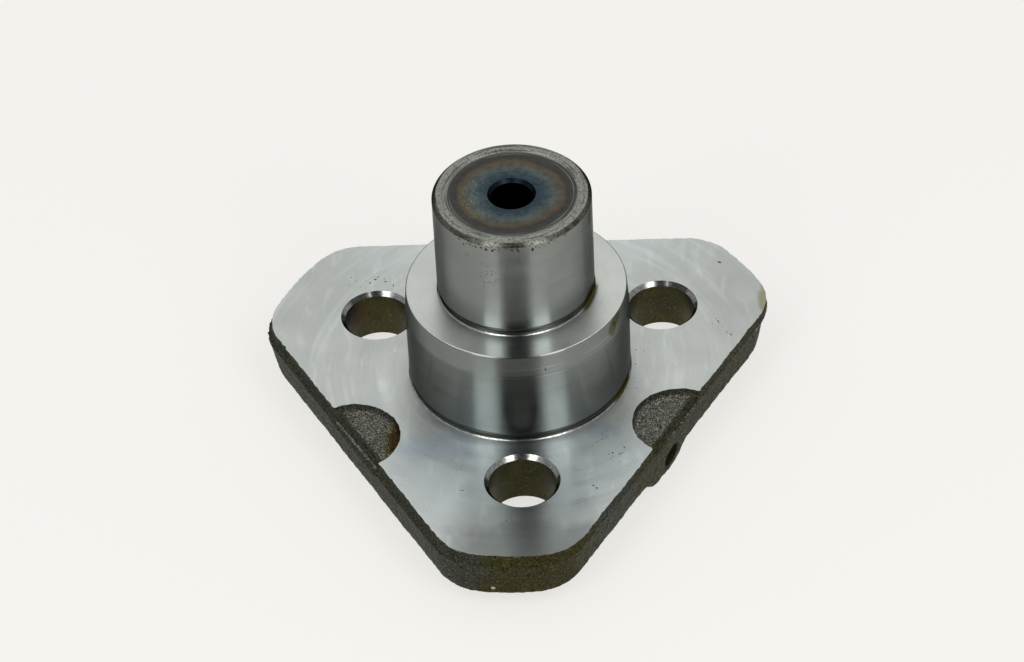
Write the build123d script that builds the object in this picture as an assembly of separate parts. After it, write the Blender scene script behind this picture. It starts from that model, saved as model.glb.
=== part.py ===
from build123d import *
from math import cos, radians, sin, tan
import os

# A king pin, forged and then turned and ground, in one piece. A three-sided flange takes three
# bolts, the collar locates it in the axle housing, and the steering knuckle turns on the pin.
# Grease goes in at the port in one edge of the flange and comes out at the end of the pin.
# Sizes are in millimetres. Z runs along the pin, and z = 0 is the machined face of the flange.

# Pin
pin_diameter = 42.0
pin_reach = 60.8             # from the machined face to the end of the pin
pin_chamfer = 1.0
end_recess_diameter = 34.8   # the middle of the end face is turned a little lower than its rim
end_recess_depth = 0.2

# Collar
collar_diameter = 60.0
collar_height = 29.3
lead_in_length = 6.3         # the top of the collar is ground slightly conical
lead_in_draw = 0.45          # radius lost over that length
collar_edge_break = 0.4

# Grinding reliefs at the foot of the pin and at the foot of the collar
relief_length = 2.6
relief_depth = 0.4
relief_bevel = 0.8

# Flange
flange_thickness = 15.0
tip_radius = 72.9            # the three tips are arcs about the middle of the forging
corner_radius = 15.0
plain_edge_distance = 51.3   # from the middle to the two plain edges
port_edge_distance = 47.2    # from the middle to the edge with the grease port
parting_depth = 2.8          # the dies met this far below the machined face
upper_draft = 7.0            # degrees
lower_draft = 9.5
rim_radius = 1.6             # around the underside
forging_offset = 0.6         # from the axis of the pin to the middle of the forging, towards the port
forging_twist = -1.0         # degrees, from the bolt holes to the outline of the forging
die_offset_x = -0.8          # the lower die sat this far out of line with the upper one
die_offset_y = -1.0

# Boss under the flange: a round hub, and a rib from it to the grease port
boss_drop = 5.2              # below the flange
boss_draft = 28.0            # degrees
boss_root_bevel = 1.8
boss_crest_radius = 3.0
hub_diameter = 38.0
rib_width = 14.0             # across its crest
rib_neck_radius = 10.0       # in the corners between hub and rib

# Bolt holes
bolt_count = 3
first_bolt_angle = -90.0     # degrees from the X axis
bolt_circle_diameter = 90.0
bolt_hole_diameter = 18.0
bolt_hole_chamfer = 1.1
spot_face_diameter = 32.0
spot_face_depth = 0.5

# Pry pockets, one in the middle of each edge
pocket_radius = 12.7
pocket_overhang = 0.9        # the centre of the round lies this far outside the edge
pocket_depth = 2.4
pocket_floor_radius = 2.0
pocket_lip_width = 1.2       # the floor falls away this far inside the edge
pocket_lip_slope = 42.0      # degrees

# Grease way
bore_diameter = 11.0
bore_mouth_chamfer = 0.9
bore_depth = 73.0            # from the end of the pin, before the drill point
drill_point_angle = 118.0    # degrees
port_depth = 13.5            # from the machined face to the axis of the cross drilling
cross_drilling_diameter = 6.0
port_diameter = 6.9          # tapping size of an M8x1 grease nipple
port_length = 12.0           # from the edge of the flange
port_chamfer = 0.3

# Worked out from the sizes above
pin_radius = pin_diameter / 2
collar_radius = collar_diameter / 2
bolt_pitch = 360 / bolt_count
port_angle = first_bolt_angle + bolt_pitch / 2
toward_port = Vector(cos(radians(port_angle)), sin(radians(port_angle)))
parting_growth = parting_depth * tan(radians(upper_draft))
boss_face = -flange_thickness - boss_drop
port_face = (port_edge_distance + forging_offset + parting_growth
             + toward_port.dot(Vector(die_offset_x, die_offset_y))
             - (port_depth - parting_depth) * tan(radians(lower_draft)))
rim_starts = 0.85 * port_edge_distance   # the edges of the boss lie nearer the axis than this
far = 3 * tip_radius         # longer than the part in any direction
snug = 0.01                  # two heights closer than this are the same
UPWARD = (Align.CENTER, Align.CENTER, Align.MIN)


def turned(outline):
    """Solid of revolution about Z, from a closed outline of (radius, height) points."""
    return revolve(Plane.XZ * make_face(outline), Axis.Z)


def edge_distance(edge):
    """From the middle of the forging to one of its edges, counted from the one with the port."""
    return port_edge_distance if edge == 0 else plain_edge_distance


def edge_angle(edge):
    return port_angle + edge * bolt_pitch


def span(edge):
    """How far an edge of a solid rises between its two ends."""
    heights = [corner.Z for corner in edge.vertices()]
    return max(heights) - min(heights)


def off_axis(edge):
    return Vector(edge.center().X, edge.center().Y).length


def at_height(solid, height):
    """The edges of a solid that lie level at one height."""
    return [e for e in solid.edges() if span(e) < snug and abs(e.center().Z - height) < snug]


def drafted_block(height, draft):
    """Three-sided block on z = 0, sharp at its corners and narrowing upwards at the draft angle."""
    rim = tip_radius + parting_growth
    block = Cone(rim, rim - height * tan(radians(draft)), height, align=UPWARD)
    for edge in range(bolt_count):
        beyond = Box(far, far, far, align=(Align.MIN, Align.CENTER, Align.CENTER))
        flat = Pos(edge_distance(edge) + parting_growth, 0) * Rot(0, -draft, 0) * beyond
        block -= Rot(0, 0, edge_angle(edge)) * flat
    return block


def drafted_plate(height, draft):
    """The same block with its corners rounded."""
    block = drafted_block(height, draft)
    corners = [e for e in block.edges() if span(e) > height / 2]
    return fillet(corners, corner_radius)


def boss():
    """The keyhole-shaped boss under the flange, as far as the crest of its rib is long."""
    plan = Circle(hub_diameter / 2) + Rectangle(far, rib_width, align=(Align.MIN, Align.CENTER))
    necks = [v for v in plan.vertices() if v.X < far / 2]
    plan = Rot(0, 0, port_angle) * fillet(necks, rib_neck_radius)
    return extrude(Pos(0, 0, boss_face) * plan, boss_drop, taper=-boss_draft)


def lower_half():
    """The forging below the parting line, with the boss ending flush with the flange's edge."""
    parting_plane = Pos(0, 0, -parting_depth)
    half = parting_plane * mirror(drafted_plate(flange_thickness - parting_depth, lower_draft), Plane.XY)
    half += boss() & parting_plane * mirror(drafted_block(-boss_face, lower_draft), Plane.XY)
    root = [e for e in at_height(half, -flange_thickness) if off_axis(e) < rim_starts]
    half = chamfer(root, boss_root_bevel)
    crest = [e for e in at_height(half, boss_face) if off_axis(e) < rim_starts]
    half = fillet(crest, boss_crest_radius)
    rim = [e for e in half.edges() if off_axis(e) > rim_starts and e.center().Z < snug - flange_thickness]
    half = fillet(rim, rim_radius)
    return Pos(die_offset_x, die_offset_y) * half


def pry_pocket(edge):
    """A shallow round scoop, open at the edge of the flange, where its floor falls away."""
    beyond = Box(far, far, far, align=(Align.MIN, Align.CENTER, Align.MIN))
    above = Box(far, far, far, align=UPWARD)
    above += Pos(-pocket_overhang - pocket_lip_width, 0) * Rot(0, pocket_lip_slope, 0) * beyond
    scoop = Cylinder(pocket_radius, flange_thickness) & above
    round_floor = [e for e in scoop.edges() if e.geom_type != GeomType.LINE and e.center().Z < snug]
    scoop = fillet(round_floor, pocket_floor_radius)
    offset_here = forging_offset * cos(radians(edge * bolt_pitch))
    centre = edge_distance(edge) + offset_here + pocket_overhang
    return Rot(0, 0, edge_angle(edge)) * Pos(centre, 0, -pocket_depth) * scoop


def forging():
    """Both halves, a little off the axis and the bolt holes, with the pockets cut out."""
    upper_half = Pos(0, 0, -parting_depth) * drafted_plate(parting_depth, upper_draft)
    plate = Rot(0, 0, forging_twist) * (upper_half + lower_half())
    plate = Pos(toward_port * forging_offset) * plate
    for edge in range(bolt_count):
        plate -= pry_pocket(edge)
    return plate


def foot(radius, shoulder, top):
    """Outline of a ground diameter, from its top down through the relief to its shoulder."""
    neck = radius - relief_depth
    relief_top = shoulder + relief_length
    return [(radius, top), (radius, relief_top), (neck, relief_top - relief_depth),
            (neck, shoulder + relief_bevel), (neck + relief_bevel, shoulder)]


def shaft():
    """The pin and the collar, reaching down into the flange."""
    base = -flange_thickness / 2
    lead_in_radius = collar_radius - lead_in_draw
    lead_in_start = collar_height - lead_in_length
    end = [(0, base), (0, pin_reach), (pin_radius - pin_chamfer, pin_reach)]
    step = [(lead_in_radius - collar_edge_break, collar_height),
            (lead_in_radius, collar_height - collar_edge_break)]
    pin = foot(pin_radius, collar_height, pin_reach - pin_chamfer)
    collar = foot(collar_radius, 0, lead_in_start)
    inside = (collar_radius, base)
    return turned(Polyline(end + pin + step + collar + [inside], close=True))


def blind_bore(diameter, depth, bevel):
    """Drilled hole from z = 0 downwards, with a countersunk mouth and a drill point."""
    radius = diameter / 2
    mouth = radius + bevel
    point = radius / tan(radians(drill_point_angle / 2))
    return turned(Polyline(
        (0, -depth - point), (radius, -depth), (radius, -bevel), (mouth, 0), (mouth, radius),
        (0, radius), close=True))


def bolt_hole():
    """Clearance hole, countersunk at the machined face and spot faced underneath."""
    radius = bolt_hole_diameter / 2
    seat = spot_face_depth - flange_thickness
    mouth = radius + bolt_hole_chamfer
    hole = turned(Polyline(
        (0, seat), (radius, seat), (radius, -bolt_hole_chamfer), (mouth, 0), (mouth, radius),
        (0, radius), close=True))
    return hole + Pos(0, 0, boss_face) * Cylinder(
        spot_face_diameter / 2, seat - boss_face, align=UPWARD)


def grease_way():
    """The bore down the pin, and the cross drilling from the port that meets it on the axis."""
    bore = Pos(0, 0, pin_reach - end_recess_depth) * blind_bore(
        bore_diameter, bore_depth, bore_mouth_chamfer)
    drilling = blind_bore(cross_drilling_diameter, port_face, port_chamfer)
    port = blind_bore(port_diameter, port_length, port_chamfer)
    return bore + Rot(0, 0, port_angle) * Pos(port_face, 0, -port_depth) * Rot(0, 90, 0) * (drilling + port)


king_pin = forging() + shaft()
king_pin -= Pos(0, 0, pin_reach - end_recess_depth) * Cylinder(
    end_recess_diameter / 2, end_recess_depth, align=UPWARD)
for bolt in range(bolt_count):
    place = Rot(0, 0, first_bolt_angle + bolt * bolt_pitch) * Pos(bolt_circle_diameter / 2, 0)
    king_pin -= place * bolt_hole()
king_pin -= grease_way()

os.makedirs("parts", exist_ok=True)
export_step(king_pin, "parts/king_pin.step")
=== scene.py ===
import math

import bmesh
import bpy
import numpy as np
from mathutils import Matrix, Vector


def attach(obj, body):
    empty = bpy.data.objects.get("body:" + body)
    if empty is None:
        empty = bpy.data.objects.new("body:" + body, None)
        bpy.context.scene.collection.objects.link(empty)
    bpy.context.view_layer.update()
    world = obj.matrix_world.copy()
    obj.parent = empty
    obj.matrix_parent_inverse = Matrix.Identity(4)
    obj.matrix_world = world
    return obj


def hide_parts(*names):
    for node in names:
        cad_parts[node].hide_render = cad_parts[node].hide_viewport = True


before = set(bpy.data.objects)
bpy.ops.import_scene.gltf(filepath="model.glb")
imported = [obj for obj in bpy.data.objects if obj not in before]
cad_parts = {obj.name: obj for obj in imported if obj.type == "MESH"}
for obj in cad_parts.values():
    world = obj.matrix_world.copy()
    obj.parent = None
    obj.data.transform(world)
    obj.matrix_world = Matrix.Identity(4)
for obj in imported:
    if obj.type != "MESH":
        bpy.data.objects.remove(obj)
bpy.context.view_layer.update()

# The king pin as it looks: the forging with its scale and grit, cut by the machined faces, so that
# their edges come out as uneven as on the real part. The sizes are those of the solid model, in
# millimetres and degrees, and z = 0 is the machined face of the flange. The meshes are scaled to
# metres.

MM = 0.001

# Forging
PORT_ANGLE = -30.0
THIRD = 120                       # from one edge, pocket or bolt hole to the next
TIP_RADIUS, CORNER_RADIUS = 72.9, 15.0
EDGES = (47.2, 51.3, 51.3)        # port edge, back edge, left edge
PARTING = -2.8
UPPER_DRAFT, LOWER_DRAFT = 7.0, 9.5
FLANGE, BOSS_FACE = -15.0, -20.2
LOWER_RIM = 1.7                   # radius round the underside
SEAM = 0.5                        # radius in the step between the two dies
STOCK = 0.8                       # what was machined off the top
TWIST, OFFSET = -1.0, 0.6
DIE_SHIFT = (-0.8, -1.0)

# Boss underneath: a round hub, and a rib from it to the grease port
HUB_RADIUS, RIB_HALF_WIDTH, NECK_RADIUS = 19, 7, 10
BOSS_DRAFT = 28
BOSS_ROOT, BOSS_CREST = 2.6, 3.0

# Pry pockets, measured outwards from the middle of the round
POCKET_RADIUS = 12.7
POCKET_OVERHANG = 0.9             # from the edge of the flange to that middle
POCKET_FLOOR, FLOOR_RADIUS = -2.4, 2.0
LIP, LIP_SLOPE = -2.1, 42         # where the floor begins to fall away, and how steeply
TROUGH, TROUGH_RADIUS = (-1.75, -2.75), 0.95
POCKET_EDGE = 0.35                # radius along their edge

# Shaft
PIN, COLLAR = 21.0, 30.0
SHOULDER, PIN_END = 29.3, 60.8
RECESS_FLOOR = PIN_END - 0.2      # the middle of the end lies lower than its rim
SHAFT_BASE = -8                   # in the middle of the flange
# The relief at the foot of a ground diameter, (out, up) from where that would meet its shoulder
FOOT = ((0.18, 0), (0, 0.1), (-0.2, 0.3), (-0.4, 0.8), (-0.4, 2.2), (0, 2.6))

# Holes
BOLT_CIRCLE, BOLT_HOLE, BOLT_CHAMFER = 45.0, 9.0, 1.1
SPOT_FACE_RADIUS, SPOT_FACE = 16, -14.5
BORE_RADIUS, BORE_DEPTH, BORE_CHAMFER = 5.5, 73, 0.9
PORT_RADIUS, PORT_LENGTH, PORT_CHAMFER = 3.45, 12, 0.3
CROSS_RADIUS = 3.0
PORT_DEPTH = -13.5
DRILL_POINT = 59                  # half its angle

# The field that the forging's surface is taken from
STEP = 0.42
LOW, HIGH = (-71.5, -77.0, -21.2), (70.5, 54.5, 1.7)
GRIT = ((0.02, 14, 1), (0.015, 5, 2), (0.035, 2.4, 3), (0.045, 1.3, 4))   # (depth, cells, seed)
TEETH, TEETH_BAND = 0.08, 0.6     # the ragged edge of the machined face, and half its height
FLASH, FLASH_BAND = 0.10, 0.5     # the same for what stands out along the parting line

# Numbers of the materials
(FACE, RAW, GROUND, SHOULDER_FACE, END_FACE, RIM, RIM_EDGE, BORE, HOLE, BRIGHT, RELIEF, PIT,
 POCKET, WORN) = range(14)


def cos(degrees):
    return math.cos(math.radians(degrees))


def sin(degrees):
    return math.sin(math.radians(degrees))


def tan(degrees):
    return math.tan(math.radians(degrees))


def turn(x, y, degrees):
    """The same points in axes turned by that angle."""
    c, s = cos(degrees), sin(degrees)
    return c * x + s * y, c * y - s * x


# Signed distances, negative inside

def rounded_and(a, b, radius):
    """What two shapes share, with that radius along the edge between them."""
    return np.minimum(np.maximum(a, b), -radius) + np.hypot(
        np.maximum(a + radius, 0), np.maximum(b + radius, 0))


def rounded_or(a, b, radius):
    """Two shapes together, with that radius in the corner between them."""
    return -rounded_and(-a, -b, radius)


def outline(x, y, growth):
    """The three-sided outline of the forging, larger all round by the growth."""
    rim = TIP_RADIUS + growth
    away = np.hypot(x, y) - rim
    for k, distance in enumerate(EDGES):
        u, v = turn(x, y, PORT_ANGLE + THIRD * k)
        edge = distance + growth
        away = np.maximum(away, u - edge)
        cu = edge - CORNER_RADIUS
        cv = math.sqrt((rim - CORNER_RADIUS) ** 2 - cu ** 2)
        du, dv = u - cu, np.abs(v) - cv
        in_corner = (dv > 0) & (cu * dv < cv * du)
        away = np.where(in_corner, np.hypot(du, dv) - CORNER_RADIUS, away)
    return away


def pocket_place(x, y, k):
    """Coordinates from the middle of a pry pocket: outwards, and along the edge."""
    u, v = turn(x, y, PORT_ANGLE + THIRD * k)
    return u - EDGES[k] - OFFSET * cos(THIRD * k) - POCKET_OVERHANG, v


def scoop(x, y, z, k):
    """A pry pocket. Its floor dips in a trough along the open side, and falls away from there."""
    u, v = pocket_place(x, y, k)
    above = POCKET_FLOOR - z
    floor = np.minimum(above, above * cos(LIP_SLOPE) - (u - LIP) * sin(LIP_SLOPE))
    trough = np.hypot(u - TROUGH[0], z - TROUGH[1]) - TROUGH_RADIUS
    floor = np.minimum(floor, trough)
    return rounded_and(np.hypot(u, v) - POCKET_RADIUS, floor, FLOOR_RADIUS)


def forging(x, y, z):
    """The raw forging at one height, without the shaft. It reaches above the machined face."""
    xl, yl = turn(x - OFFSET * cos(PORT_ANGLE), y - OFFSET * sin(PORT_ANGLE), TWIST)
    upper = outline(xl, yl, -z * tan(UPPER_DRAFT)) * cos(UPPER_DRAFT)
    upper = np.maximum(upper, PARTING - z)
    xl, yl = xl - DIE_SHIFT[0], yl - DIE_SHIFT[1]
    growth = -PARTING * tan(UPPER_DRAFT) - (PARTING - z) * tan(LOWER_DRAFT)
    side = outline(xl, yl, growth) * cos(LOWER_DRAFT)
    u, v = turn(xl, yl, PORT_ANGLE)
    rib = np.maximum(np.abs(v) - RIB_HALF_WIDTH, -u)
    plan = rounded_or(np.hypot(u, v) - HUB_RADIUS, rib, NECK_RADIUS)
    boss = (plan - (z - BOSS_FACE) * tan(BOSS_DRAFT)) * cos(BOSS_DRAFT)
    boss = rounded_and(boss, BOSS_FACE - z, BOSS_CREST)
    lower = rounded_and(side, rounded_or(FLANGE - z, boss, BOSS_ROOT), LOWER_RIM)
    lower = np.maximum(lower, z - PARTING)
    body = rounded_or(upper, lower, SEAM)
    for k in range(3):
        body = rounded_and(body, -scoop(x, y, z, k), POCKET_EDGE)
    return np.maximum(body, z - STOCK)


def grain(shape, cells, seed):
    """Smooth noise on a grid, about one lump in so many cells, with a spread of 1."""
    dice = np.random.default_rng(seed)
    field = dice.standard_normal([int(n / cells) + 5 for n in shape]).astype(np.float32)
    for axis, n in enumerate(shape):
        place = np.arange(n) / cells
        whole = place.astype(int)
        t = place - whole
        weights = np.zeros((n, field.shape[axis]), np.float32)
        rows = np.arange(n)
        for j, w in enumerate(((1 - t) ** 3, 3 * t ** 3 - 6 * t ** 2 + 4,
                               3 * (t + t ** 2 - t ** 3) + 1, t ** 3)):
            weights[rows, whole + j] = w / 6
        field = np.moveaxis(np.tensordot(weights, field, (1, axis)), 0, axis)
    return field / field.std()


def settle(field):
    """Turns over the weakest corner of every lattice face whose corners alternate between inside
    and outside, because two sheets of the surface would meet along an edge there."""
    just_across = 0.03
    unsettled = True
    while unsettled:
        unsettled = False
        for first, second in ((0, 1), (0, 2), (1, 2)):
            sheets = np.moveaxis(field, (first, second), (0, 1))
            inside = sheets < 0
            a, b, c, d = inside[:-1, :-1], inside[1:, :-1], inside[:-1, 1:], inside[1:, 1:]
            for i, j, k in np.argwhere((a == d) & (b == c) & (a != b)):
                corners = sheets[i:i + 2, j:j + 2, k]
                (a0, b0), (c0, d0) = corners < 0
                if a0 == d0 and b0 == c0 and a0 != b0:
                    weakest = np.unravel_index(np.argmin(np.abs(corners)), (2, 2))
                    corners[weakest] = math.copysign(just_across, -corners[weakest])
                    unsettled = True


def surface(field, origin, step):
    """Quads on the zero of a field: one point in each cell that it crosses."""
    nx, ny, nz = field.shape
    cells = (nx - 1, ny - 1, nz - 1)
    total = np.zeros(cells + (3,), np.float32)
    count = np.zeros(cells, np.float32)
    inside = field < 0
    crossings = []
    for axis in range(3):
        a = [slice(None)] * 3
        b = [slice(None)] * 3
        a[axis], b[axis] = slice(0, -1), slice(1, None)
        fa, fb = field[tuple(a)], field[tuple(b)]
        crosses = inside[tuple(a)] != inside[tuple(b)]
        crossings.append((crosses, inside[tuple(a)]))
        share = np.where(crosses, fa / np.where(crosses, fa - fb, 1), 0).astype(np.float32)
        others = [i for i in range(3) if i != axis]
        for p in (0, 1):
            for q in (0, 1):
                pick = [slice(0, cells[axis])] * 3
                pick[others[0]] = slice(p, p + cells[others[0]])
                pick[others[1]] = slice(q, q + cells[others[1]])
                hit = crosses[tuple(pick)].astype(np.float32)
                count += hit
                total[..., axis] += share[tuple(pick)]
                total[..., others[0]] += p * hit
                total[..., others[1]] += q * hit
    used = count > 0
    index = np.full(cells, -1, np.int64)
    index[used] = np.arange(used.sum())
    points = (np.argwhere(used) + total[used] / count[used][:, None]) * step + origin
    quads = []
    for axis, (crosses, starts_inside) in enumerate(crossings):
        others = [i for i in range(3) if i != axis]
        at = np.argwhere(crosses)
        at = at[(at[:, others[0]] > 0) & (at[:, others[1]] > 0)]
        at = at[(at[:, others[0]] < cells[others[0]]) & (at[:, others[1]] < cells[others[1]])]
        corners = []
        for p, q in ((1, 1), (0, 1), (0, 0), (1, 0)):
            c = at.copy()
            c[:, others[0]] -= p
            c[:, others[1]] -= q
            corners.append(index[tuple(c.T)])
        quad = np.stack(corners, 1)
        flip = starts_inside[tuple(at.T)] == (axis == 1)
        quad[flip] = quad[flip][:, ::-1]
        quads.append(quad)
    return points, np.concatenate(quads)


def mesh_object(name, points, faces, materials):
    """A mesh in metres from points in millimetres. All faces have the same number of corners."""
    mesh = bpy.data.meshes.new(name)
    faces = np.asarray(faces, np.int32)
    sides = faces.shape[1]
    mesh.vertices.add(len(points))
    mesh.vertices.foreach_set("co", (np.asarray(points, np.float32) * MM).ravel())
    mesh.loops.add(faces.size)
    mesh.loops.foreach_set("vertex_index", faces.ravel())
    mesh.polygons.add(len(faces))
    mesh.polygons.foreach_set("loop_start", np.arange(0, faces.size, sides, dtype=np.int32))
    mesh.polygons.foreach_set("material_index", np.broadcast_to(
        np.asarray(materials, np.int32), (len(faces),)).copy())
    mesh.update(calc_edges=True)
    made = bpy.data.objects.new(name, mesh)
    bpy.context.scene.collection.objects.link(made)
    return made


def read(items, what, kind, width=1):
    """One property of all the vertices, loops or polygons of a mesh."""
    values = np.zeros(len(items) * width, kind)
    items.foreach_get(what, values)
    return values.reshape(-1, width) if width > 1 else values


def lathe(name, profile, materials, place=None, segments=96):
    """A closed turned solid about Z. The profile runs from the axis to the axis, counter-clockwise
    in (radius, height), and materials has one number for each of its stretches."""
    profile = np.asarray(profile, float)
    angles = np.arange(segments) * 2 * math.pi / segments
    ring = np.stack([np.cos(angles), np.sin(angles)], 1)
    inner = profile[1:-1]
    points = [np.concatenate([ring * r, np.full((segments, 1), h)], 1) for r, h in inner]
    points = np.concatenate(points + [[[0, 0, profile[0][1]], [0, 0, profile[-1][1]]]])
    here = np.arange(segments)
    after = (here + 1) % segments
    tris, slots = [], []
    first, last = len(points) - 2, len(points) - 1
    tris.append(np.stack([np.full(segments, first), after, here], 1))
    slots += [materials[0]] * segments
    for k in range(len(inner) - 1):
        low, high = k * segments, (k + 1) * segments
        tris.append(np.stack([low + here, low + after, high + after], 1))
        tris.append(np.stack([low + here, high + after, high + here], 1))
        slots += [materials[k + 1]] * (2 * segments)
    top = (len(inner) - 1) * segments
    tris.append(np.stack([top + here, top + after, np.full(segments, last)], 1))
    slots += [materials[-1]] * segments
    if place is not None:
        points = points @ np.array(place.to_3x3()).T + np.array(place.translation)
    return mesh_object(name, points, np.concatenate(tris), slots)


def disc(name, radius, bottom, top, material, **more):
    """A cylinder about Z between two heights."""
    profile = [(0, bottom), (radius, bottom), (radius, top), (0, top)]
    return lathe(name, profile, [material] * 3, **more)


def apply_modifiers(thing):
    depsgraph = bpy.context.evaluated_depsgraph_get()
    mesh = bpy.data.meshes.new_from_object(thing.evaluated_get(depsgraph))
    thing.modifiers.clear()
    old, thing.data = thing.data, mesh
    bpy.data.meshes.remove(old)


def combine(thing, tool, operation):
    """Cuts the tool away or joins it on, and takes the tool out of the scene."""
    step = thing.modifiers.new("step", "BOOLEAN")
    step.object, step.operation, step.solver = tool, operation, "MANIFOLD"
    apply_modifiers(thing)
    bpy.data.objects.remove(tool)


# The forging, as a field with lumps, grit and a trace of flash along the parting line

low = np.array(LOW)
size = np.ceil((np.array(HIGH) - low) / STEP).astype(int)
xs, ys, heights = [low[i] + STEP * np.arange(size[i]) for i in range(3)]
gx, gy = np.meshgrid(xs, ys, indexing="ij")
field = np.stack([forging(gx, gy, z) for z in heights], 2).astype(np.float32)
grit = sum(depth * grain(field.shape, cells, seed) for depth, cells, seed in GRIT)
teeth = TEETH * grain(field.shape, 1.2, 6) * np.exp(-(heights / TEETH_BAND) ** 2)
flash = (FLASH * np.exp(-((heights - PARTING) / FLASH_BAND) ** 2)
         * (1 + 0.4 * grain(field.shape, 9, 5)))
in_pocket = np.any([np.hypot(*pocket_place(gx, gy, k)) < POCKET_RADIUS + 1 for k in range(3)],
                   axis=0)
grit[in_pocket] *= 1.25
teeth[in_pocket] *= 0.6
field += (grit + teeth - flash).astype(np.float32)
settle(field)
points, quads = surface(field, low, STEP)
points[:, 2] = np.maximum(points[:, 2], BOSS_FACE)
pin = mesh_object("king_pin_dressed", points, quads, RAW)

# Fewer faces on the underside, and no point below the boss
hidden = pin.vertex_groups.new(name="underside")
hidden.add(np.flatnonzero(points[:, 2] < FLANGE + 0.35).tolist(), 1.0, "REPLACE")
thin = pin.modifiers.new("thin", "DECIMATE")
thin.ratio, thin.vertex_group = 0.65, "underside"
apply_modifiers(pin)
places = read(pin.data.vertices, "co", np.float32, 3)
places[:, 2] = np.maximum(places[:, 2], BOSS_FACE * MM)
pin.data.vertices.foreach_set("co", places.ravel())


# Machining

def foot(radius, shoulder):
    """The grinding relief at the foot of a ground diameter."""
    return [(radius + out, shoulder + up) for out, up in FOOT]


def drill(name, radius, depth, bevel, place, wall, mouth, segments=96):
    """Cuts a hole down from the place, with a countersunk mouth and a drill point."""
    above = 2.0
    profile = [(0, -depth - radius / tan(DRILL_POINT)), (radius, -depth), (radius, -bevel),
               (radius + bevel, 0), (radius + bevel, above), (0, above)]
    materials = [wall, wall, mouth, mouth, mouth]
    combine(pin, lathe(name, profile, materials, place, segments), "DIFFERENCE")


combine(pin, disc("above", 200, 0, 5, FACE, segments=8), "DIFFERENCE")

lead_in = [(COLLAR, 22.94), (COLLAR, 23.0), (COLLAR - 0.01, 23.1), (29.56, 28.84), (29.55, 28.9),
           (29.5, 29.08), (29.34, 29.24), (29.15, SHOULDER), (29.0, SHOULDER)]
chamfer = [(PIN, 32.0), (PIN, 59.7), (PIN, 59.8), (20.96, 59.88), (20.08, 60.76), (20.0, PIN_END)]
end = [(19.9, PIN_END), (17.7, PIN_END), (17.5, PIN_END - 0.05), (17.2, PIN_END - 0.17),
       (17.0, RECESS_FLOOR), (0, RECESS_FLOOR)]
shaft = ([(0, SHAFT_BASE), (COLLAR + 0.3, SHAFT_BASE)] + foot(COLLAR, 0) + lead_in
         + foot(PIN, SHOULDER) + chamfer + end)
relief = [BRIGHT] * 2 + [RELIEF] * 3
slots = ([FACE] * 2 + relief + [GROUND] * 7 + [SHOULDER_FACE] * 3 + relief + [GROUND] * 3
         + [RIM_EDGE] * 3 + [RIM] * 4 + [END_FACE] * 2)
combine(pin, lathe("shaft", shaft, slots, segments=360), "UNION")

for k in range(3):
    angle = -90 + THIRD * k
    bolt = Matrix.Translation((BOLT_CIRCLE * cos(angle), BOLT_CIRCLE * sin(angle), 0))
    drill("hole", BOLT_HOLE, 26, BOLT_CHAMFER, bolt, HOLE, BRIGHT, 144)
    combine(pin, disc("seat", SPOT_FACE_RADIUS, -24, SPOT_FACE, FACE, place=bolt), "DIFFERENCE")

top = Matrix.Translation((0, 0, RECESS_FLOOR))
drill("bore", BORE_RADIUS, BORE_DEPTH, BORE_CHAMFER, top, BORE, BORE)

# The flange's edge at the port: it grows down to the parting line, the lower die shifts it there,
# and from there it shrinks down to the port
growth, shift = 0.344, -0.193
port_face = EDGES[0] + OFFSET + growth + shift - (PARTING - PORT_DEPTH) * tan(LOWER_DRAFT)
port = (port_face * cos(PORT_ANGLE), port_face * sin(PORT_ANGLE), PORT_DEPTH)
mouth = (Matrix.Translation(port) @ Matrix.Rotation(math.radians(PORT_ANGLE), 4, "Z")
         @ Matrix.Rotation(math.pi / 2, 4, "Y"))
drill("drilling", CROSS_RADIUS, port_face, PORT_CHAMFER, mouth, BORE, BORE, 48)
drill("port", PORT_RADIUS, PORT_LENGTH, PORT_CHAMFER, mouth, HOLE, RAW, 48)


# Pits and scratches, left by corrosion and handling

UP = (0.0, 0.0, 1.0)

# Patches of pits on the machined face: the middle (x, y), the spread in x and in y, how many, and
# the smallest and the largest half width
FACE_PITS = (
    (-39.2, 36.4, 4.0, 1.4, 16, 0.10, 0.32),       # by the left bolt hole
    (-42.0, 45.0, 5.0, 3.0, 5, 0.08, 0.16),
    (54.6, 13.4, 1.5, 2.4, 10, 0.14, 0.36),        # at the right tip
    (55.8, 39.1, 0.2, 0.2, 1, 0.40, 0.45),
    (34.2, 5.0, 2.0, 1.0, 9, 0.08, 0.18),          # right of the collar
    (30.9, -8.0, 0.5, 5.0, 10, 0.08, 0.22),
    (25.2, -36.8, 2.6, 1.6, 9, 0.12, 0.34),        # in front
    (19.3, -48.9, 0.5, 1.2, 2, 0.24, 0.30),
    (-15.9, -47.9, 0.8, 0.4, 2, 0.16, 0.26),
    (-1.0, -61.3, 4.0, 1.2, 7, 0.10, 0.26),
    (0.0, -8.0, 36.0, 32.0, 70, 0.06, 0.13))       # all over

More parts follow.
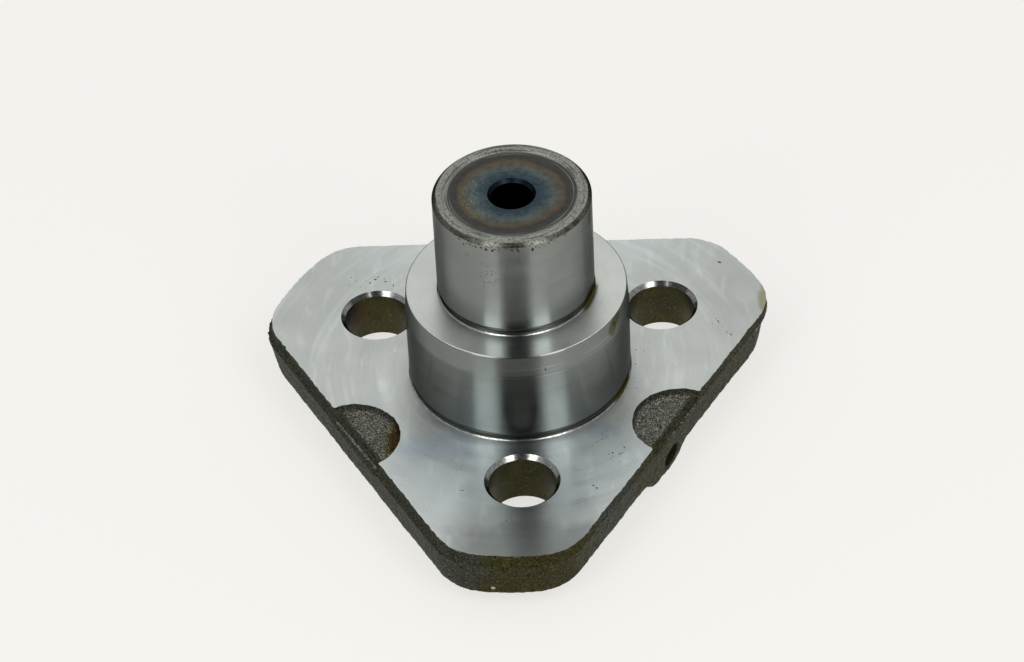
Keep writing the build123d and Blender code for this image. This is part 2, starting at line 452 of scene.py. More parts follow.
# The same on turned walls, after the wall's radius, with the angle from the front and the height
# in place of x and y
WALL_PITS = (
    (PIN, -14.0, 59.3, 13.0, 0.45, 60, 0.10, 0.50),    # under the rim
    (PIN, 16.0, 59.35, 10.0, 0.4, 34, 0.10, 0.40),
    (PIN, -36.0, 55.4, 1.2, 0.9, 5, 0.16, 0.34),
    (PIN, -19.0, 50.6, 4.5, 2.2, 34, 0.07, 0.22),      # half way up
    (PIN, 1.5, 53.6, 3.5, 2.2, 18, 0.06, 0.18),
    (PIN, 0.0, 47.0, 26.0, 7.0, 24, 0.05, 0.12),
    (29.85, 12.8, 24.8, 1.6, 0.3, 5, 0.14, 0.34),      # on the collar's lead-in
    (COLLAR, 0.0, 13.0, 40.0, 6.0, 16, 0.05, 0.12))

SCRATCHES = (((19.2, -31.9), (20.7, -30.9)), ((20.9, -30.7), (21.9, -29.9)),
             ((21.0, -28.6), (22.0, -27.7)), ((22.3, -27.5), (23.0, -26.8)),
             ((18.4, -33.2), (18.9, -32.8)))

dice = np.random.default_rng(11)
ball = bmesh.new()
bmesh.ops.create_icosphere(ball, subdivisions=2, radius=1)
ball_points = np.array([v.co for v in ball.verts])
ball_faces = np.array([[v.index for v in f.verts] for f in ball.faces])
ball.free()


def pit_places(radius, across, up, spread_across, spread_up, count, smallest, largest):
    """Pits scattered about a place: (point, outward direction, half width). The radius is None on
    the machined face, where the pits that would reach the collar are left out."""
    places = []
    for _ in range(count):
        a = across + spread_across * dice.normal()
        b = up + spread_up * dice.normal()
        size = smallest * (largest / smallest) ** dice.random()
        if radius is None:
            if math.hypot(a, b) > COLLAR + 0.5:
                places.append(((a, b, 0), UP, size))
        else:
            out = (sin(a), -cos(a), 0.0)
            places.append(((radius * out[0], radius * out[1], b), out, size))
    return places


def cut_lumps(name, lumps):
    """Cuts away lumps that are all reshaped from the ball, each given by its points."""
    faces = [ball_faces + len(ball_points) * k for k in range(len(lumps))]
    tool = mesh_object(name, np.concatenate(lumps), np.concatenate(faces), PIT)
    combine(pin, tool, "DIFFERENCE")


def cut_pits(name, places, deep):
    """Cuts one uneven pit at each place, apart from those that would run into another."""
    apart, uneven, longest = 1.35, 0.16, 1.3
    lumps, kept = [], []
    for point, out, size in places:
        if any(math.dist(point, other) < apart * (size + width) for other, width in kept):
            continue
        kept.append((point, size))
        out = Vector(out)
        along = out.orthogonal().normalized()
        axes = np.array([along, out.cross(along), out])
        spin = dice.random() * math.pi
        stretch = longest ** dice.normal()
        lump = ball_points * (1 + uneven * dice.normal(size=(len(ball_points), 1)))
        lump = lump * (size * stretch, size / stretch, deep * size)
        c, s = math.cos(spin), math.sin(spin)
        lump = lump @ np.array([[c, s, 0], [-s, c, 0], [0, 0, 1]]) @ axes
        lumps.append(lump + np.array(point))
    cut_lumps(name, lumps)


def cut_scratches(name, lines, width):
    """Cuts thin scratches into the machined face, each from (x, y) to (x, y)."""
    deep = 0.6
    lumps = []
    for start, end in lines:
        start, end = np.array([*start, 0.0]), np.array([*end, 0.0])
        half = (end - start) / 2
        side = np.array([-half[1], half[0], 0]) / math.dist(start, end) * width
        axes = np.array([half, side, (0, 0, deep * width)])
        lumps.append(ball_points @ axes + (start + end) / 2)
    cut_lumps(name, lumps)


on_face = [pit for patch in FACE_PITS for pit in pit_places(None, *patch)]
on_walls = [pit for patch in WALL_PITS for pit in pit_places(*patch)]
rim_count = 110
on_rim = [((r * math.cos(a), r * math.sin(a), PIN_END), UP, half_width) for r, a, half_width in
          zip(dice.uniform(17.7, 19.7, rim_count), dice.uniform(0, 2 * math.pi, rim_count),
              dice.uniform(0.06, 0.22, rim_count))]
cut_pits("face_pits", on_face, 0.7)
cut_scratches("scratches", SCRATCHES, 0.13)
cut_pits("wall_pits", on_walls, 0.6)
cut_pits("rim_pits", on_rim, 0.6)


def drop_crumbs(thing):
    """Keeps only the largest connected part of a mesh, without faces too small to have an area."""
    work = bmesh.new()
    work.from_mesh(thing.data)
    bmesh.ops.triangulate(work, faces=work.faces[:])
    bmesh.ops.dissolve_degenerate(work, dist=3e-8, edges=work.edges[:])
    parts, seen = [], set()
    for start in work.verts:
        if start in seen:
            continue
        seen.add(start)
        part, front = [start], [start]
        while front:
            near = {edge.other_vert(vert) for vert in front for edge in vert.link_edges} - seen
            seen |= near
            front = list(near)
            part += front
        parts.append(part)
    parts.sort(key=len)
    for part in parts[:-1]:
        bmesh.ops.delete(work, geom=part, context="VERTS")
    work.to_mesh(thing.data)
    work.free()


drop_crumbs(pin)


# Shading: smooth, apart from the level machined faces, with a hard edge wherever machined surfaces
# meet at an angle

mesh = pin.data
normals = read(mesh.polygons, "normal", np.float32, 3)
centres = read(mesh.polygons, "center", np.float32, 3) / MM
slot_of = read(mesh.polygons, "material_index", np.int32)
loops_in = read(mesh.polygons, "loop_total", np.int32)
loop_edge = read(mesh.loops, "edge_index", np.int32)
level = (np.abs(normals[:, 2]) > 0.9999) & (slot_of != RAW)
mesh.polygons.foreach_set("use_smooth", ~level)
owner = np.repeat(np.arange(len(mesh.polygons)), loops_in)
order = np.argsort(loop_edge, kind="stable")
first, second = owner[order[0::2]], owner[order[1::2]]
bend = np.einsum("ij,ij->i", normals[first], normals[second])
raw_pair = (slot_of[first] == RAW) & (slot_of[second] == RAW)
sharp = (bend < cos(24)) & ~raw_pair
sharp |= (slot_of[first] != slot_of[second]) & (bend < cos(3))
mesh.attributes.new("sharp_edge", "BOOLEAN", "EDGE").data.foreach_set("value", sharp)

# The floors of the pockets, which get a paler material as painted light, and the edges where
# handling has rubbed the scale off

x, y, z = centres.T
for k in range(3):
    u, v = pocket_place(x, y, k)
    # The strip over the trough along each pocket's open side keeps the darker forging material:
    # painted shade
    floor_ends = -3.2 + 0.25 * dice.normal(size=len(u))
    scooped = (np.hypot(u, v) < POCKET_RADIUS + 0.4) & (u < floor_ends) & (z > -3.4)
    slot_of[(slot_of == RAW) & scooped] = POCKET
    crest = (u > -1.25) & (u < -0.1) & (np.abs(v) < 11) & (np.abs(z + 3.1) < 0.6)
    crest &= (slot_of == RAW) & (normals[:, 2] > 0.25)
    slot_of[crest & (dice.random(len(slot_of)) < 0.8)] = WORN
face_edge = (slot_of == RAW) & (z > -0.3) & (normals[:, 2] < 0.9)
patches = np.sin(x * 0.9 + 3 * np.sin(y * 0.23)) * np.sin(y * 1.1 + 1)
front_left = (x < -3) & (y < -52)
worn = np.where(front_left, 0.6, 0.3) * (patches > 0.35)
slot_of[face_edge & (dice.random(len(slot_of)) < worn)] = WORN


# Materials

def named(sockets, identifier):
    return next(s for s in sockets if s.identifier == identifier)


class Nodes:
    """Short ways to write a node tree."""

    def __init__(self, name):
        self.material = bpy.data.materials.new(name)
        self.material.use_nodes = True
        self.tree = self.material.node_tree
        self.shader = self.tree.nodes["Principled BSDF"]
        self.place = self.add("ShaderNodeTexCoord").outputs["Object"]

    def add(self, kind, **settings):
        node = self.tree.nodes.new(kind)
        for key, value in settings.items():
            setattr(node, key, value)
        return node

    def put(self, value, socket):
        if isinstance(value, bpy.types.NodeSocket):
            self.tree.links.new(value, socket)
        else:
            socket.default_value = value

    def math(self, operation, *values):
        node = self.add("ShaderNodeMath", operation=operation)
        for value, socket in zip(values, node.inputs):
            self.put(value, socket)
        return node.outputs[0]

    def times(self, a, b):
        return self.math("MULTIPLY", a, b)

    def vector(self, operation, *values, result=0):
        node = self.add("ShaderNodeVectorMath", operation=operation)
        for value, socket in zip(values, node.inputs):
            self.put(value, socket)
        return node.outputs[result]

    def join(self, *parts):
        node = self.add("ShaderNodeCombineXYZ")
        for value, socket in zip(parts, node.inputs):
            self.put(value, socket)
        return node.outputs[0]

    def split(self):
        node = self.add("ShaderNodeSeparateXYZ")
        self.put(self.place, node.inputs[0])
        return node.outputs

    def noise(self, scale, detail=2.0, rough=0.5, at=None, stretch=None):
        """Noise with lumps of so many millimetres."""
        node = self.add("ShaderNodeTexNoise")
        at = self.place if at is None else at
        if stretch is not None:
            at = self.vector("MULTIPLY", at, stretch)
        self.put(at, node.inputs["Vector"])
        node.inputs["Scale"].default_value = 1 / (scale * MM)
        node.inputs["Detail"].default_value = detail
        node.inputs["Roughness"].default_value = rough
        return node.outputs["Fac"]

    def ramp(self, value, *stops):
        """Colours along a value: (place, colour) pairs."""
        node = self.add("ShaderNodeValToRGB")
        while len(node.color_ramp.elements) < len(stops):
            node.color_ramp.elements.new(0.5)
        for element, (at, colour) in zip(node.color_ramp.elements, stops):
            element.position = at
            element.color = (*colour, 1)
        self.put(value, node.inputs[0])
        return node.outputs[0]

    def span(self, value, low, high, to_low=0.0, to_high=1.0):
        """The value brought from one range to another, with soft ends."""
        node = self.add("ShaderNodeMapRange", interpolation_type="SMOOTHSTEP")
        for v, socket in zip((value, low, high, to_low, to_high), node.inputs):
            self.put(v, socket)
        return node.outputs[0]

    def close_to(self, value, target, beyond, within):
        """1 within one distance of the target, and 0 beyond another. All are in millimetres."""
        gap = self.math("ABSOLUTE", self.math("SUBTRACT", value, target * MM))
        return self.span(gap, beyond * MM, within * MM)

    def mix(self, share, a, b, blend="MIX"):
        node = self.add("ShaderNodeMix", data_type="RGBA", blend_type=blend)
        for value, name in ((share, "Factor_Float"), (a, "A_Color"), (b, "B_Color")):
            value = (*value, 1) if isinstance(value, tuple) else value
            self.put(value, named(node.inputs, name))
        return named(node.outputs, "Result_Color")

    def tones(self, value, low, high, a, b):
        """One colour below a value, another above a higher one, and a mixture between."""
        return self.mix(self.span(value, low, high), a, b)

    def shade(self, colour, share, factor):
        """The colour times a factor, where the share is 1."""
        factor = factor if isinstance(factor, tuple) else (factor,) * 3
        return self.mix(share, colour, self.mix(1.0, colour, factor, "MULTIPLY"))

    def radius(self):
        x, y, _ = self.split()
        return self.vector("LENGTH", self.join(x, y, 0.0), result=1)

    def across(self):
        """The direction across the turning marks, which run round the axis of the pin."""
        x, y, _ = self.split()
        along = self.join(self.times(y, -1.0), x, 0.0)
        normal = self.add("ShaderNodeNewGeometry").outputs["Normal"]
        return self.vector("NORMALIZE", self.vector("CROSS_PRODUCT", normal, along))

    def arcs(self, width, lumps, detail=2.0, rough=0.5):
        """Noise in arcs round the axis, so many millimetres wide and so many to a turn."""
        x, y, z = self.split()
        radius = self.radius()
        reach = lumps / (2 * math.pi)
        turn_x = self.times(self.math("DIVIDE", x, radius), reach)
        turn_y = self.times(self.math("DIVIDE", y, radius), reach)
        step = self.math("DIVIDE", self.math("ADD", radius, z), width * MM)
        return self.noise(1 / MM, detail, rough, at=self.join(turn_x, turn_y, step))

    def bump(self, height, strength, millimetres, after=None):
        node = self.add("ShaderNodeBump")
        node.inputs["Strength"].default_value = strength
        node.inputs["Distance"].default_value = millimetres * MM
        self.put(height, node.inputs["Height"])
        if after is not None:
            self.put(after, node.inputs["Normal"])
        return node.outputs[0]

    def spot(self, centre, reach, wobble=1.2, scale=3.0):
        """1 at a place and 0 beyond its reach, with an uneven border. Both are in millimetres."""
        gap = self.vector("SUBTRACT", self.place, tuple(c * MM for c in centre))
        gap = self.vector("DIVIDE", gap, tuple(r * MM for r in reach))
        uneven = self.times(self.math("SUBTRACT", self.noise(scale, 3.0), 0.5), wobble)
        gap = self.math("ADD", self.vector("LENGTH", gap, result=1), uneven)
        return self.span(gap, 1.1, 0.6)

    def set(self, **sockets):
        for name, value in sockets.items():
            socket = self.shader.inputs[name.replace("_", " ")]
            colour = isinstance(value, tuple) and socket.type == "RGBA"
            self.put((*value, 1) if colour else value, socket)
        return self.material


def face_material():
    n = Nodes("turned_face")
    colour = n.tones(n.noise(15, 3.0, 0.55), 0.3, 0.7,
                     (0.516, 0.558, 0.556), (0.568, 0.611, 0.608))
    arcs = n.arcs(5, 5, 4.0, 0.6)
    calm = n.spot((0, -54, 0), (42, 24, 5), 0.9, 9)
    pale_arcs = n.times(n.span(arcs, 0.52, 0.66), n.span(calm, 0.0, 1.0, 1.0, 0.35))
    colour = n.shade(colour, pale_arcs, 1.14)
    colour = n.shade(colour, n.span(arcs, 0.46, 0.34), 0.94)
    colour = n.shade(colour, n.span(n.arcs(1.4, 4, 2.0, 0.5), 0.5, 0.8), 0.96)
    swirls = n.noise(3.2, 2.0, 0.5, stretch=(1, 0.32, 1))
    colour = n.shade(colour, n.span(swirls, 0.56, 0.68), 1.09)
    colour = n.shade(colour, n.spot((-21, -31, 0), (11, 7, 5), 1.8, 9), (0.86, 0.90, 0.96))
    colour = n.shade(colour, n.spot((21.5, -26.5, 0), (5, 4, 4), 2.0, 9), (0.86, 0.89, 0.94))
    colour = n.mix(n.spot((67.8, 23, 0), (2.6, 6, 3), 1.0), colour, (0.38, 0.38, 0.26))
    colour = n.shade(colour, n.spot((62, 20, 0), (15, 16, 5), 1.4, 9), 0.92)
    colour = n.shade(colour, n.spot((0, -40, 0), (44, 20, 5), 1.2, 9), (1.00, 1.03, 1.05))
    # Darker at the front tip: painted reflection of the pin's dark band, which the face mirrors
    # there
    colour = n.shade(colour, n.spot((0, -68, 0), (26, 9, 5), 1.2, 7), 0.79)
    rough = n.math("ADD", n.span(arcs, 0.35, 0.7, 0.28, 0.305),
                   n.span(n.noise(6, 3.0), 0.3, 0.7, -0.01, 0.01))
    normal = n.bump(n.arcs(0.35, 3, 3.0, 0.7), 0.06, 0.02)
    return n.set(Base_Color=colour, Metallic=1.0, Roughness=rough, Anisotropic=1.0,
                 Tangent=n.across(), Normal=normal)


def oily(n, colour):
    """Brown oil that has crept out along the foot of the pin and of the collar, on the right."""
    for foot, centre, reach in ((PIN, (19.9, -6.5, 29.8), (6, 6.5, 4.2)),
                                (COLLAR, (28, -11, 0.6), (6, 7, 2.4))):
        near_foot = n.close_to(n.radius(), foot, 1.5, 0.2)
        colour = n.mix(n.times(n.spot(centre, reach, 0.5), near_foot), colour,
                       (0.078, 0.070, 0.028))
    return colour


def ground_material():
    n = Nodes("ground_steel")
    colour = n.tones(n.noise(12, 3.0, 0.55), 0.3, 0.7, (0.19, 0.203, 0.193), (0.213, 0.226, 0.217))
    colour = n.shade(colour, n.span(n.arcs(1.3, 2, 3.0, 0.6), 0.5, 0.8), 0.92)
    rough = n.span(n.arcs(2.4, 3, 2.0), 0.3, 0.7, 0.205, 0.24)
    height = n.split()[2]
    on_pin = n.span(n.radius(), 25 * MM, 24 * MM)
    on_collar = n.span(n.radius(), 24 * MM, 25 * MM)
    colour = n.shade(n.shade(colour, on_pin, 1.13), on_collar, 0.90)
    lead_in = n.times(n.span(height, 22.2 * MM, 23.6 * MM), on_collar)
    colour = n.shade(colour, lead_in, (1.10, 1.10, 1.085))
    for line, factor in ((22.5, 1.35), (22.9, 0.7), (25.2, 1.3), (16.6, 0.86)):
        broken = n.span(n.noise(9, 2.0, stretch=(1, 1, 0.2)), 0.42, 0.56)
        colour = n.shade(colour, n.times(n.close_to(height, line, 0.22, 0.06), broken), factor)
    for centre, reach in (((26.4, -14.2, 28.4), (2.4, 2.8, 2.6)),
                          ((25.4, -16.0, 26.4), (2.0, 2.2, 2.6)),
                          ((20.2, -5.6, 57), (2, 1.8, 3.2))):
        colour = n.shade(colour, n.spot(centre, reach, 0.5, 1.5), (0.62, 0.60, 0.44))
    normal = n.bump(n.arcs(0.4, 2, 2.0, 0.6), 0.05, 0.01)
    return n.set(Base_Color=oily(n, colour), Metallic=1.0, Roughness=rough, Anisotropic=1.0,
                 Specular_Tint=(0.35, 0.35, 0.34), Tangent=n.across(), Normal=normal)


def shoulder_material():
    n = Nodes("turned_shoulder")
    colour = n.tones(n.noise(10, 3.0, 0.55), 0.3, 0.7, (0.56, 0.60, 0.585), (0.61, 0.65, 0.635))
    colour = n.shade(colour, n.span(n.arcs(0.9, 4, 3.0, 0.6), 0.5, 0.8), 0.92)
    normal = n.bump(n.arcs(0.3, 3, 2.0, 0.7), 0.06, 0.02)
    return n.set(Base_Color=oily(n, colour), Metallic=1.0, Roughness=0.235, Anisotropic=1.0,
                 Tangent=n.across(), Normal=normal)


def end_material():
    """The end of the pin, with heat tints in rings round the bore."""
    n = Nodes("heat_tinted_end")
    drift = n.times(n.math("SUBTRACT", n.noise(8, 1.5), 0.5), 2.6 * MM)
    share = n.math("DIVIDE", n.math("ADD", n.radius(), drift), PIN * MM)
    colour = n.ramp(share, (0.31, (0.030, 0.048, 0.066)), (0.42, (0.050, 0.075, 0.088)),
                    (0.52, (0.090, 0.112, 0.108)), (0.58, (0.092, 0.095, 0.076)),
                    (0.63, (0.100, 0.080, 0.055)), (0.69, (0.050, 0.049, 0.047)),
                    (0.80, (0.062, 0.066, 0.064)))
    mottle = n.noise(1.8, 3.0, 0.6)
    inside = n.span(n.radius(), 14 * MM, 11 * MM, 0.35, 1.0)
    colour = n.shade(colour, n.times(n.span(mottle, 0.42, 0.62), inside), 0.78)
    specks = n.span(n.noise(0.5, 2.0, 0.7), 0.56, 0.7)
    colour = n.shade(colour, n.times(specks, inside), 1.4)
    stippled = n.times(n.spot((-9, -2.5, 60.6), (6, 9, 5), 1.0),
                       n.span(n.noise(0.6, 2.0, 0.7), 0.5, 0.6))
    colour = n.shade(colour, stippled, (1.6, 1.65, 1.6))
    for ring in (16.3, 17.0):
        line = n.times(n.close_to(n.radius(), ring, 0.22, 0.05), n.span(n.arcs(1, 6), 0.4, 0.6))
        colour = n.mix(line, colour, (0.20, 0.20, 0.185))
    normal = n.bump(n.arcs(0.4, 3, 3.0, 0.7), 0.15, 0.03)
    return n.set(Base_Color=colour, Metallic=1.0, Roughness=n.span(mottle, 0.3, 0.7, 0.33, 0.45),
                 Anisotropic=0.5, Tangent=n.across(), Normal=normal)


def rough_rim(name, dark, light, rings, roughness):
    """Coarsely turned steel, specked and scored round the axis."""
    n = Nodes(name)
    speck = n.noise(0.6, 2.0, 0.8)
    colour = n.tones(speck, 0.33, 0.55, dark, light)
    colour = n.shade(colour, n.span(n.arcs(rings, 9, 3.0, 0.7), 0.48, 0.6), 0.45)
    normal = n.bump(n.arcs(rings, 3, 3.0, 0.7), 0.5, 0.06, after=n.bump(speck, 0.4, 0.06))
    return n.set(Base_Color=colour, Metallic=1.0, Roughness=roughness, Anisotropic=0.7,
                 Specular_Tint=(0.4, 0.4, 0.4), Tangent=n.across(), Normal=normal)


def rim_material():
    return rough_rim("rough_rim", (0.17, 0.176, 0.16), (0.33, 0.34, 0.315), 0.7, 0.42)


def rim_edge_material():
    # The chamfer at the end of the pin: the rim's steel in much darker tones, painted shade for the
    # dark reflection that it shows at its sides
    return rough_rim("rough_rim_edge", (0.04, 0.042, 0.036), (0.14, 0.143, 0.12), 0.4, 0.34)


def relief_material():
    n = Nodes("relief")
    # Dark tones: painted shade, for the shaded neck that the relief mirrors
    colour = n.tones(n.arcs(0.5, 9, 3.0, 0.7), 0.4, 0.65,
                     (0.028, 0.030, 0.026), (0.13, 0.135, 0.12))
    return n.set(Base_Color=oily(n, colour), Metallic=1.0, Roughness=0.36, Anisotropic=0.5,
                 Specular_Tint=(0.3, 0.3, 0.3), Tangent=n.across(),
                 Normal=n.bump(n.noise(0.4, 2.0), 0.3, 0.05))


def scaled_steel(name, first, second, places, dark, light, roughness, lump, height):
    """Forged steel with its scale: a second tone at some places, and darker and lighter specks."""
    n = Nodes(name)
    share = n.span(n.noise(14, 3.0, 0.6), 0.45, 0.75, 0.0, 0.3)
    for centre, reach, most in places:
        share = n.math("MAXIMUM", share, n.times(n.spot(centre, reach, 0.9, 7), most))
    colour = n.mix(share, first, second)
    specks = n.noise(lump, 2.0, 0.6)
    colour = n.shade(colour, n.span(specks, 0.48, 0.36), dark)
    colour = n.shade(colour, n.span(specks, 0.55, 0.68), light)
    normal = n.bump(n.noise(2 * lump, 4.0, 0.75), 0.8, height)
    n.set(Metallic=0.05, Specular_IOR_Level=0.06, Normal=normal,
          Roughness=n.span(specks, 0.3, 0.7, roughness + 0.1, roughness - 0.1))
    return n, colour


def raw_material():
    """The forging's sides and underside: browner at the front and the right, with a few nicks."""
    rusted = (((8, -72, -9), (26, 14, 22), 1.0), ((40, -42, -9), (13, 24, 18), 0.9),
              ((62, 0, -9), (26, 46, 30), 0.5))
    n, colour = scaled_steel("raw_forging", (0.0315, 0.0335, 0.025), (0.031, 0.0275, 0.0085),
                             rusted, 0.3, 2.3, 0.55, 0.5, 0.22)
    for centre, size in (((55.6, -2.3, -5), (0.5, 0.9, 2.2)), ((-8.4, -72.5, -12), (0.7, 0.8, 0.7)),
                         ((65.3, 15.1, -4), (0.8, 0.8, 0.8)), ((60.7, 10.8, -5), (0.7, 0.7, 0.9))):
        colour = n.mix(n.spot(centre, size, 0.8, 1.0), colour, (0.34, 0.33, 0.27))
    return n.set(Base_Color=colour)


def pocket_material():
    """The pockets' floors: paler than the forging's sides, painted light on floors that face up;
    darker up their walls, painted shade; with rust in the left and the right one.
    """
    # The pale tones are painted light on the up-facing floors, over their real grit
    n, colour = scaled_steel("pry_pocket", (0.094, 0.095, 0.077), (0.084, 0.078, 0.066), (),
                             0.14, 3.6, 0.5, 0.42, 0.3)
    depth = n.split()[2]
    # Painted shade: darker up the walls of the pockets
    colour = n.shade(colour, n.span(depth, -2.2 * MM, -1.5 * MM), 0.34)
    colour = n.shade(colour, n.spot((-33.8, -25.5, -1.2), (4.2, 8.0, 3), 1.2), (0.78, 0.72, 0.42))
    colour = n.shade(colour, n.spot((-33.6, -25.7, -1.2), (3, 5.5, 3), 1.0), (0.46, 0.31, 0.18))
    colour = n.shade(colour, n.spot((46.5, -17.5, -3), (3.0, 5.0, 2), 1.0), (0.6, 0.36, 0.25))
    return n.set(Base_Color=colour)


def worn_material():
    n = Nodes("worn_edges")
    colour = n.tones(n.noise(0.6, 2.0), 0.4, 0.6, (0.07, 0.068, 0.056), (0.21, 0.21, 0.19))
    return n.set(Base_Color=colour, Metallic=0.8, Roughness=0.45,
                 Normal=n.bump(n.noise(0.5, 2.0), 0.4, 0.1))


def hole_material():
    """The walls of the bolt holes, with rust at the left of the left one."""
    n = Nodes("hole_wall")
    colour = n.tones(n.noise(5, 3.0, 0.6), 0.4, 0.62, (0.037, 0.035, 0.007), (0.054, 0.047, 0.009))
    specks = n.noise(0.7, 3.0, 0.7, stretch=(1, 1, 2))
    colour = n.tones(specks, 0.5, 0.8, colour, (0.17, 0.155, 0.09))
    colour = n.mix(n.spot((-46, 27, -4), (6, 7, 7.5), 1.2), colour, (0.075, 0.043, 0.007))
    colour = n.mix(n.spot((-47, 26, -4), (5, 6, 7), 1.0), colour, (0.026, 0.017, 0.004))
    normal = n.bump(n.noise(0.8, 3.0, 0.6, stretch=(1, 1, 2.5)), 0.25, 0.1)
    return n.set(Base_Color=colour, Metallic=0.7, Roughness=0.42, Normal=normal)


def bore_material():
    n = Nodes("bore")
    # Near black, with a blue cast: painted shade down the bore and the cross drilling, and the
    # bore's chamfer is given it too
    colour = n.tones(n.noise(2, 3.0), 0.4, 0.6, (0.006, 0.009, 0.014), (0.011, 0.016, 0.023))
    return n.set(Base_Color=colour, Metallic=1.0, Roughness=0.35, Specular_Tint=(0.2, 0.25, 0.3),
                 Normal=n.bump(n.noise(0.8, 2.0), 0.15, 0.05))


def bright_material():
    n = Nodes("cut_edges")
    colour = n.tones(n.noise(0.7, 2.0, 0.6), 0.35, 0.6, (0.20, 0.206, 0.20), (0.34, 0.355, 0.345))
    return n.set(Base_Color=oily(n, colour), Metallic=1.0, Roughness=0.17,
                 Specular_Tint=(0.4, 0.4, 0.4), Normal=n.bump(n.noise(0.4, 2.0), 0.07, 0.03))


def pit_material():
    n = Nodes("pits")
    colour = n.mix(n.noise(0.4, 2.0), (0.02, 0.02, 0.018), (0.07, 0.066, 0.058))
    return n.set(Base_Color=colour, Metallic=0.3, Roughness=0.7,
                 Normal=n.bump(n.noise(0.2, 2.0), 0.3, 0.05))


mesh.materials.clear()
for make in (face_material, raw_material, ground_material, shoulder_material, end_material,
             rim_material, rim_edge_material, bore_material, hole_material, bright_material,
             relief_material, pit_material, pocket_material, worn_material):
    mesh.materials.append(make())
mesh.polygons.foreach_set("material_index", slot_of)

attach(pin, "root")
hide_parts("king_pin")


# The stage: a pale floor, two soft lamps in front, and dark and bright cards, which only the
# polished steel shows

PALE = (0.921, 0.905, 0.871)
AMBIENT = (0.60, 0.60, 0.60)
CARD_DISTANCE = 1700
GLOW = 0.75                       # how much of the floor's colour doesn't depend on the lamps


def seen_directly(tree):
    """1 where the camera, a reflection or a refraction looks at it, and 0 where it sends light."""
    path = tree.nodes.new("ShaderNodeLightPath")
    seen = path.outputs["Is Camera Ray"]
    for name in ("Is Glossy Ray", "Is Transmission Ray"):
        either = tree.nodes.new("ShaderNodeMath")
        either.operation = "MAXIMUM"
        tree.links.new(seen, either.inputs[0])
        tree.links.new(path.outputs[name], either.inputs[1])
        seen = either.outputs[0]
    return seen


floor = disc("floor", 9000, 0, 10, 0)
floor.location.z = (BOSS_FACE - 10) * MM
pale = Nodes("floor")
seen = seen_directly(pale.tree)
pale.set(Base_Color=pale.shade(PALE, seen, 1 - GLOW), Roughness=0.9, Specular_IOR_Level=0.0,
         Emission_Color=PALE, Emission_Strength=pale.times(seen, GLOW))
floor.data.materials.append(pale.material)


def toward(azimuth, elevation):
    """A direction. Azimuth 0 is the side of the front bolt hole, and 90 the right."""
    return Vector((sin(azimuth) * cos(elevation), -cos(azimuth) * cos(elevation), sin(elevation)))


def over(across, along):
    """A direction on an arc over the pin, from 0 in front to 180 at the back."""
    return Vector((sin(across), -cos(across) * cos(along), cos(across) * sin(along)))


def on_floor(azimuth, distance):
    """A place just over the floor, so many millimetres from the pin, over the cards' distance."""
    place = toward(azimuth, 0) * distance / CARD_DISTANCE
    return Vector((place.x, place.y, (BOSS_FACE + 0.1) / CARD_DISTANCE))


def lamp(name, azimuth, elevation=42, distance=1.5, width=0.49, height=1.3, level=2.85):
    """A soft box that faces the pin and shows that level. Its sizes are in metres."""
    data = bpy.data.lights.new(name, "AREA")
    data.shape, data.size, data.size_y = "RECTANGLE", width, height
    data.energy = 4 * level * width * height
    made = bpy.data.objects.new(name, data)
    made.location = toward(azimuth, elevation) * distance
    made.rotation_euler = toward(azimuth, elevation).to_track_quat("Z", "Y").to_euler()
    bpy.context.scene.collection.objects.link(made)


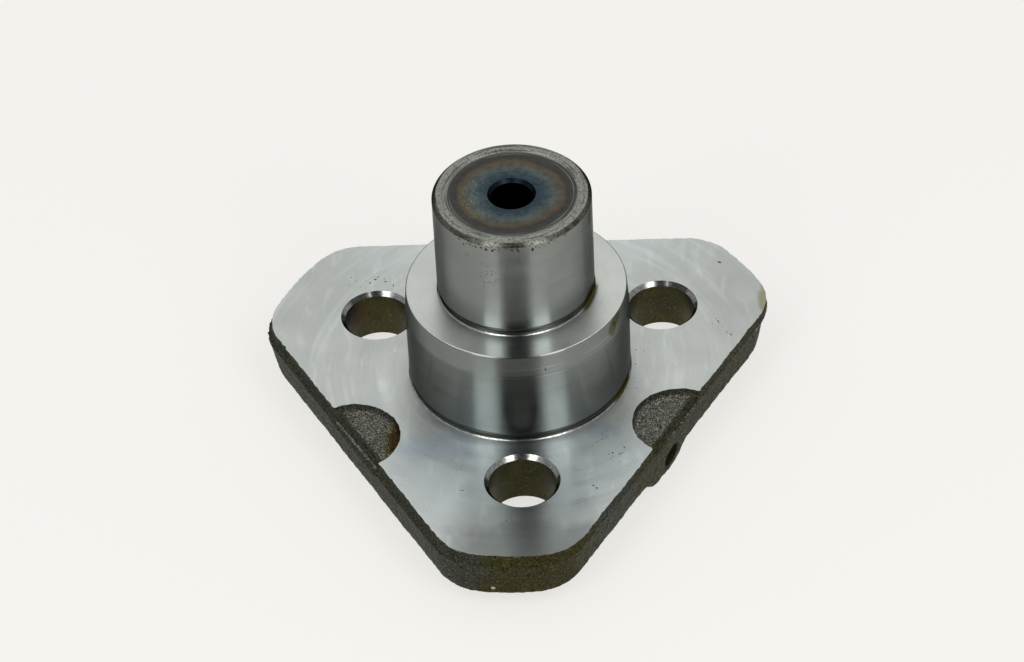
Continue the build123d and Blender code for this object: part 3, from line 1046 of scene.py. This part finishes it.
def card(name, way, first_range, second_range, level):
    """A curved card that only reflections see. Its way is one of the functions above, and the two
    ranges are of the numbers that it takes."""
    rows, columns = 9, 13
    points = [way(a, b) * CARD_DISTANCE for b in np.linspace(*second_range, rows)
              for a in np.linspace(*first_range, columns)]
    corner = (np.arange(rows - 1)[:, None] * columns + np.arange(columns - 1)).ravel()
    quads = np.stack([corner, corner + 1, corner + columns + 1, corner + columns], 1)
    made = mesh_object(name, points, quads, 0)
    n = Nodes(name)
    n.set(Base_Color=(0.0, 0.0, 0.0), Roughness=1.0, Emission_Color=(level, level, level),
          Emission_Strength=1.0)
    made.data.materials.append(n.material)
    made.visible_camera = made.visible_diffuse = made.visible_shadow = False


lamp("front_left", -35.5)
lamp("front_right", 35.5)
card("front_card", over, (-17, 17), (2, 70), 0.05)
card("top_card", over, (-11.5, 11), (70, 116), 0.04)
card("left_card", toward, (-132, -56), (3, 62), 0.54)
card("right_card", toward, (56, 132), (3, 62), 0.54)
card("back_left_card", toward, (-168, -100), (-0.5, 24), 0.06)
card("back_right_card", toward, (100, 168), (-0.5, 24), 0.06)
card("top_left_card", over, (-40, -13), (72, 114.5), 1.9)
card("top_right_card", over, (13, 40), (72, 114.5), 1.85)
card("floor_card", on_floor, (-20, 20), (150, 1700), 0.05)
# Under the flange, a dimmer card: painted shadow on the floor for reflections, which see the floor
# glow whatever the lamps do
card("under_card", on_floor, (-16, 16), (38, 70), 0.4)
card("floor_left_card", on_floor, (-168, -100), (170, 1700), 0.06)
card("floor_right_card", on_floor, (100, 168), (170, 1700), 0.06)

# The world looks as pale as the floor, and sends a dimmer light
world = bpy.data.worlds.new("studio")
bpy.context.scene.world = world
world.use_nodes = True
tree = world.node_tree
sky = tree.nodes.new("ShaderNodeMix")
sky.data_type = "RGBA"
tree.links.new(seen_directly(tree), sky.inputs["Factor"])
named(sky.inputs, "A_Color").default_value = (*AMBIENT, 1)
named(sky.inputs, "B_Color").default_value = (*PALE, 1)
tree.links.new(named(sky.outputs, "Result_Color"), tree.nodes["Background"].inputs["Color"])

# The camera, as fitted to the photo
camera = bpy.data.objects.new("camera", bpy.data.cameras.new("camera"))
camera.data.lens = 144.5
camera.data.clip_start, camera.data.clip_end = 0.05, 30
camera.location = (0.018005, -0.823278, 0.749953)
camera.rotation_euler = [math.radians(a) for a in (48.1152, 2.2233, -0.6188)]
bpy.context.scene.collection.objects.link(camera)
bpy.context.scene.camera = camera
bpy.context.scene.view_settings.view_transform = "Standard"
